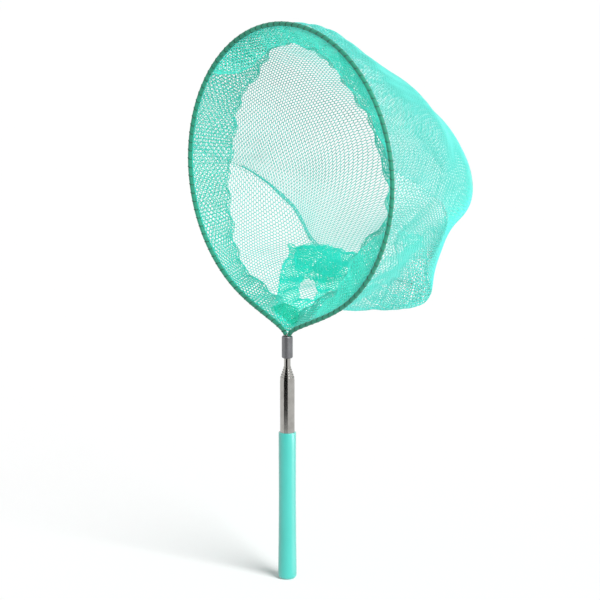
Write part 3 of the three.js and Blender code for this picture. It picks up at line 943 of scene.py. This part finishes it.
# These four yarns are painted copies of net_yarn, with light and shade painted into their colour.
gathered_yarn_painted_deep = yarn("gathered_yarn_painted_deep", GATHER_MINT_PAINTED_DEEP, 0.05)
foot_yarn_painted_shade = yarn("foot_yarn_painted_shade", FOOT_MINT_PAINTED_SHADE, 0.0)
edge_yarn_painted_shade = yarn("edge_yarn_painted_shade", EDGE_MINT_PAINTED_SHADE)
bunched_yarn_painted_light = yarn("bunched_yarn_painted_light", BUNCH_MINT_PAINTED_LIGHT)


def add_net(name, points, faces, material, slot, nodes=(), sides=(-1.0, 1.0)):
    """A layer of net, grown from its lattice of triangles, between two sides in metres."""
    net = grown(name, points, [], faces, knitting, {
        "Strand Radius": STRAND_RADIUS * MM, "Left Side": sides[0], "Right Side": sides[1],
        "Material": material})
    seat(net, "net_head", slot, nodes)


left_end = float(from_chart(*SEAM_KNOTS[0])[0])
right_end = float(from_chart(*SEAM_KNOTS[-1])[0])
upper_lattice = panel_lattice(rim_path(left_end - 1, right_end), seam_path)
lower_lattice = panel_lattice(rim_path(left_end, right_end), seam_path)
UPPER_PARTS = {"left": (-1.0, -PANEL_SPLIT), "middle": (-PANEL_SPLIT, PANEL_SPLIT),
               "right": (PANEL_SPLIT, 1.0)}
for part, sides in UPPER_PARTS.items():
    add_net(f"net_upper_{part}", *upper_lattice, net_yarn, "mesh", ["net_bag"], sides)
add_net("net_lower", *lower_lattice, net_yarn, "mesh", ["net_bag"])

# The turned-in edge: the cut edge of the net, folded in at the hem and left loose. It hangs in
# the mouth as a double flap, wide on the left, and it is bunched up thick along the top and
# down the right. Each knot says, at a share of the way round, how far in and how far back the
# flap reaches. A bunch has its start and end, its inner and outer share of the flap and a lift.
FLAP_KNOTS = [(0.0, 12, 10), (0.07, 18, 6), (0.115, 17, 4), (0.16, 16, 4), (0.2, 15, 4),
              (0.22, 12, 4), (0.24, 8, 4), (0.28, 8, 4), (0.3, 11, 4), (0.325, 19, 4),
              (0.375, 20, 4), (0.43, 14, 8), (0.5, 10, 8), (0.6, 8, 8), (0.67, 12, 14),
              (0.75, 18, 20), (0.835, 18, 19), (0.89, 20, 16), (0.93, 15, 13), (1.0, 12, 10)]
FLAP_START = 1.2
FLAP_PITCH = 2.6
FLAP_ROWS = 8
FLAP_BUNCHES = [(0.86, 1.08, 0.05, 1.0, -1.3), (1.0, 1.22, 0.1, 0.85, -1.3),
                (1.02, 1.2, 0.15, 0.8, 2.6), (1.29, 1.46, 0.05, 0.95, -1.3),
                (1.3, 1.45, 0.1, 0.85, 2.1)]
BUNCH_PITCH = 2.1
BUNCH_ROWS = 7


def flap_surface(around, share, layer):
    """A point of the flap, from its fold at the hem to its loose edge."""
    around = around % 1.0
    knots = np.array(FLAP_KNOTS)
    wave = 2 * math.pi * around
    uneven = 1.2 * np.sin(9 * wave + 1) + 0.8 * np.sin(23 * wave) + 0.5 * np.sin(41 * wave + 2)
    inward = np.interp(around, knots[:, 0], knots[:, 1]) + uneven
    back = np.interp(around, knots[:, 0], knots[:, 2])
    across, rise = rim_vector(around)
    up = rise - DEEPEST_DROP
    size = np.hypot(across, up)
    reach = FLAP_START + inward * share
    x = across - across / size * reach
    z = up - up / size * reach + HOOP_CENTRE
    sway = 1.3 * np.sin(31 * wave + 3 * share + 1.1 * layer) * share
    y = 1.0 + back * share ** 1.3 + 2.2 * np.sin(share * math.pi) + sway + (0.5 + share) * layer
    return np.stack([x, y, z], axis=-1)


def band_lattice(surface, start, end, pitch, rows, length):
    """Triangles of a band that runs from one share of a way to another, rows across it."""
    count = max(2, int(length * (end - start) / pitch))
    columns = []
    for i in range(count + 1):
        at = start + (end - start) * i / count
        places = np.unique([0.0, *((np.arange(rows) + (0.5 if i % 2 else 1.0)) / rows), 1.0])
        columns.append((surface(np.full(len(places), at), places), places))
    return laced(columns)


def stacked(lattices):
    """Several lattices as one."""
    points, faces = [], []
    for more_points, more_faces in lattices:
        faces += [tuple(len(points) + corner for corner in face) for face in more_faces]
        points += list(more_points)
    return points, faces


def bunch_surface(first, last, inner, outer, lift):
    """The surface of a bunched part of the flap, which is narrow at both its ends."""
    def surface(around, share):
        """A point of the bunch, from its inner to its outer edge."""
        along = (around - first) / (last - first)
        full = np.sqrt(np.clip(4 * along * (1 - along), 0.02, 1.0))
        return flap_surface(around, inner + (outer - inner) * share * full, lift)
    return surface


flap_layers = [band_lattice(lambda around, share, k=k: flap_surface(around, share, k), 0.0, 1.0,
                            FLAP_PITCH + 0.1 * k, FLAP_ROWS, 2 * mouth_length) for k in (0, 1)]
add_net("turned_in_edge", *stacked(flap_layers), edge_yarn_painted_shade, "hem", ["hem_allowance"])
bunch_layers = [band_lattice(bunch_surface(*bunch), *bunch[:2], BUNCH_PITCH, BUNCH_ROWS,
                             2 * mouth_length) for bunch in FLAP_BUNCHES]
add_net("bunched_edge", *stacked(bunch_layers), bunched_yarn_painted_light, "hem", ["hem_allowance"])

# The gathered net: where the two ends of the cut net meet, at the foot of the hoop, the spare
# cloth lies in folds against the wall inside the bag. Each outline is drawn in the chart.
GATHER_WHOLE = [(-55, -57), (-51, -57), (-48, -55), (-40, -55), (-29, -56), (-19, -55), (-14, -59),
                (-14, -68), (-11, -77), (-8, -83), (2, -92), (8, -100), (2, -108), (-6, -108),
                (-15, -102), (-22, -97), (-30, -88), (-40, -78), (-46, -70), (-49, -64)]
GATHER_WINDOW = [(-31, -75), (-26, -77), (-18, -82), (-12, -87), (-9, -91), (-13, -92), (-19, -88),
                 (-25, -82)]
GATHER_CORE = [(-50, -60), (-47, -58), (-40, -58), (-31, -62), (-23, -70), (-19, -75), (-22, -77),
               (-32, -72), (-36, -75), (-44, -68)]
GATHER_FOOT = [(-21, -99), (-15, -97), (-8, -99), (3, -102), (5, -106), (2, -109), (-6, -109),
               (-14, -104)]


def inside(outline, x, z):
    """Whether points lie inside an outline."""
    held = np.zeros(np.shape(x), bool)
    for (x0, z0), (x1, z1) in zip(outline, outline[1:] + outline[:1]):
        crosses = (z0 > z) != (z1 > z)
        held ^= crosses & (x < (x1 - x0) * (z - z0) / (z1 - z0 + 1e-12) + x0)
    return held


def wall_patch(outline, pitch, offset, phase, window=None):
    """Triangles of a patch of net inside an outline: so far outside the bag's wall, and
    crumpled by waves that start at a phase of their own."""
    around, back = from_chart(*np.array(outline, float).T)
    columns = np.arange(around.min(), around.max(), pitch / (2 * mouth_length))
    fine = np.linspace(back.min(), back.max(), 200)
    points, index, faces = [], {}, []
    for i, at in enumerate(columns):
        run = length_along(bag_point(np.full(len(fine), at), fine))
        places = np.arange(pitch * (0.5 if i % 2 else 0.0), run[-1], pitch * 0.95)
        depth = np.interp(places, run, fine)
        along = np.full(len(depth), at)
        x, z = to_chart(along, depth)
        kept = inside(outline, x, z)
        if window:
            kept &= ~inside(window, x, z)
        spot = bag_point(along, depth)
        crumple = (np.sin(spot[:, 0] / 2.6 + phase + 1.5 * np.sin(spot[:, 2] / 4))
                   * np.sin(spot[:, 1] / 3.4 - 2 * phase))
        layer = bag_surface(along, depth, offset)
        layer -= bag_outward(along, depth) * (1.5 * crumple)[:, None]
        for j in np.flatnonzero(kept):
            index[i, j] = len(points)
            points.append(layer[j])
    for i, j in index:
        shift = i % 2
        for corners in ([(i, j), (i + 1, j + shift), (i, j + 1)],
                        [(i, j + 1), (i + 1, j + shift), (i + 1, j + 1 + shift)]):
            if all(corner in index for corner in corners):
                faces.append(tuple(index[corner] for corner in corners))
    return points, faces


gather_layers = [wall_patch(GATHER_WHOLE, 2.1, -2.5, 0.0, GATHER_WINDOW),
                 wall_patch(GATHER_WHOLE, 2.2, -4.5, 1.3, GATHER_WINDOW),
                 wall_patch(GATHER_CORE, 1.9, -6.5, 2.2),
                 wall_patch(GATHER_CORE, 2.0, -8.0, 3.1)]
foot_layers = [wall_patch(GATHER_FOOT, 1.8, -6.5, 0.7), wall_patch(GATHER_FOOT, 1.9, -8.0, 1.9)]
add_net("gathered_net", *stacked(gather_layers), gathered_yarn_painted_deep, "hem")
add_net("gathered_foot", *stacked(foot_layers), foot_yarn_painted_shade, "hem")

# The fold of the lobe: under the crease the slack net lies double, along the back of the lobe
# and under it.
LOBE_FOLD = [(94, -28), (78, -33), (64, -40), (52, -42), (43, -47), (33, -58), (27, -66), (18, -73),
             (14, -79), (30, -84), (48, -81), (64, -72), (56, -70), (40, -76), (31, -72), (44, -64),
             (55, -57), (80, -42)]
add_net("lobe_fold", *wall_patch(LOBE_FOLD, 2.5, -2.0, 0.4), net_yarn, "mesh")

# The side seam: the joined edges of the two panels, folded inwards and oversewn. It lies flat
# at first and stands up as it drops to the gathered net.
SEAM_START, SEAM_END = 0.11, 0.44
SEAM_WIDTH = 2.6
SEAM_PITCH = 2.6
SEAM_POINTS = 200
SEAM_SINK = 0.4
SEAM_LEAN = np.array([0.3, 0.0, 0.9])
seam_line, seam_length = even_along(seam_path, SEAM_POINTS)
seam_shares = np.linspace(0, 1, SEAM_POINTS)


def seam_strip(along, share):
    """A point of the folded edges, from the seam to their free edge."""
    x = np.interp(along, seam_shares, seam_line[:, 0])
    z = np.interp(along, seam_shares, seam_line[:, 1])
    full = smooth_step((along - SEAM_START) / 0.16)
    away = SEAM_WIDTH * share * (0.25 + 0.75 * full)
    return bag_surface(*from_chart(x, z), -SEAM_SINK) + away[:, None] * SEAM_LEAN


seam_lattice = band_lattice(seam_strip, SEAM_START, SEAM_END, SEAM_PITCH, 2, seam_length)
add_net("side_seam", *seam_lattice, net_yarn, "hem", ["bag_seam"])

# On the white floor the photograph shows the shadow of the pole and the grip alone. So the
# floor has its own lamp, which the net doesn't block, and no other lamp lights the floor. The
# gathered layers and the lobe are bright right through, so they don't block the key lamp.


def lamp_group(name, pieces, state):
    """A collection that includes its pieces in a lamp's light or shadows, or leaves them out."""
    group = bpy.data.collections.new(name)
    for piece in pieces:
        group.objects.link(bpy.data.objects[piece])
    for entry in group.collection_objects:
        entry.light_linking.link_state = state
    return group


BRIGHT_LAYERS = ["net_lower", "lobe_fold", "turned_in_edge", "bunched_edge", "gathered_net",
                 "gathered_foot", "side_seam"]
NET_PIECES = ["hem_roll", "hem_stitches", "net_upper_left", "net_upper_middle",
              "net_upper_right", *BRIGHT_LAYERS]
for lamp, names in ((floor_lamp, NET_PIECES), (key_lamp, BRIGHT_LAYERS), (fold_lamp, NET_PIECES)):
    lamp.light_linking.blocker_collection = lamp_group(f"{lamp.name}_passes", names, "EXCLUDE")
THICK_FOLDS = ["bunched_edge", "gathered_net", "gathered_foot"]
for lamp, names in ((fold_lamp, THICK_FOLDS), (grip_strip, ["grip"]), (floor_lamp, ["floor"])):
    lamp.light_linking.receiver_collection = lamp_group(f"{lamp.name}_lights", names, "INCLUDE")
for lamp in (key_lamp, right_fill, left_fill):
    lamp.light_linking.receiver_collection = lamp_group(f"{lamp.name}_lights", ["floor"], "EXCLUDE")
